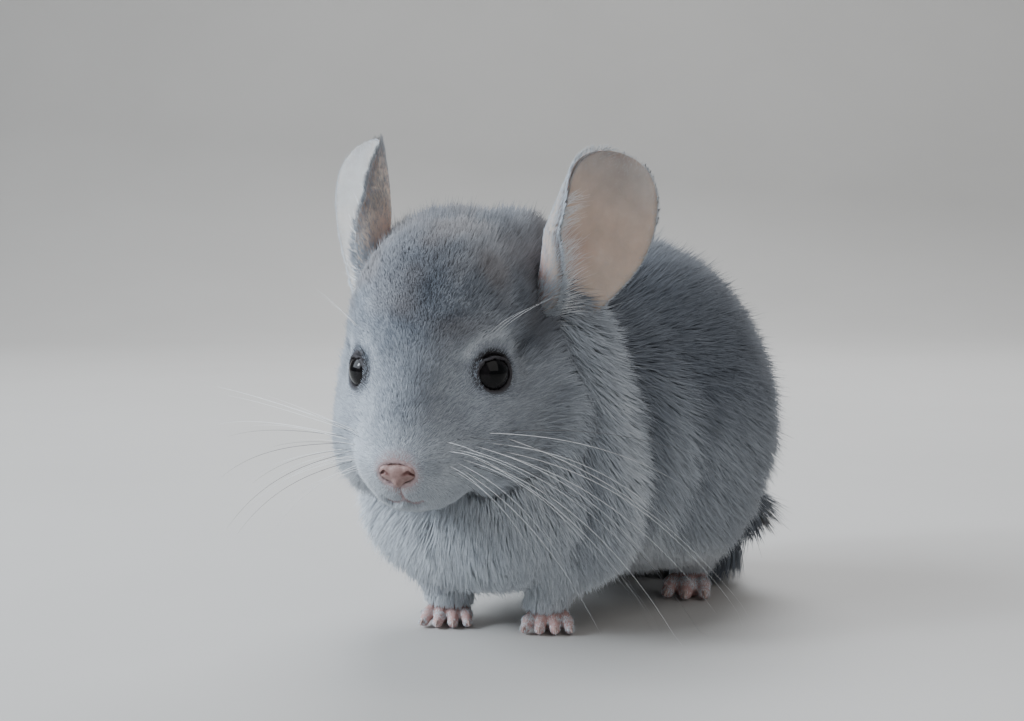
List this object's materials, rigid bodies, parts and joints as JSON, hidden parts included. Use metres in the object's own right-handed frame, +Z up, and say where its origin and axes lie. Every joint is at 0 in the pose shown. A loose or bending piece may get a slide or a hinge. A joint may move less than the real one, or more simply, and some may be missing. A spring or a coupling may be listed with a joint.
{
  "type": "chinchilla model",
  "caption": "Still life-size model of a young grey chinchilla standing with its head turned, ears raised and tail curled on the floor.",
  "frame": {"origin": "on the floor, under the middle of the bounding box", "axes": "+Z up, the body faces -Y, +X is the animal's own left side"},
  "size_m": [0.1036, 0.1562, 0.128],
  "materials": {
    "coat_head": "short dense blue-grey fur, darker crown, pale muzzle",
    "coat_body": "dense plush blue-grey fur, darker back, white chest and belly",
    "coat_tail": "longer coarse dark grey fur",
    "coat_pale": "short white fur",
    "paw": "pink skin under short white hairs",
    "ear": "thin grey-pink skin with very fine hairs",
    "eye": "wet glossy black",
    "nose": "soft pink nose leather",
    "claw": "small blunt horn-coloured claws"
  },
  "bodies": {
    "root": {"head": "coat_head", "trunk": "coat_body", "neck": "coat_body", "tail": "coat_tail", "hindleg_L": "coat_body", "hindfoot_L": "paw", "hindleg_R": "coat_body", "hindfoot_R": "paw", "foreleg_L": "coat_pale", "forepaw_L": "paw", "foreleg_R": "coat_pale", "forepaw_R": "paw", "eye_L": "eye", "eye_R": "eye", "nose": "nose", "ear_L": "ear", "ear_R": "ear", "claw_fl1": "claw", "claw_fl2": "claw", "claw_fl3": "claw", "claw_fl4": "claw", "claw_fr1": "claw", "claw_fr2": "claw", "claw_fr3": "claw", "claw_fr4": "claw", "claw_hl1": "claw", "claw_hl2": "claw", "claw_hl3": "claw", "claw_hr1": "claw", "claw_hr2": "claw", "claw_hr3": "claw"}
  },
  "joints": []
}
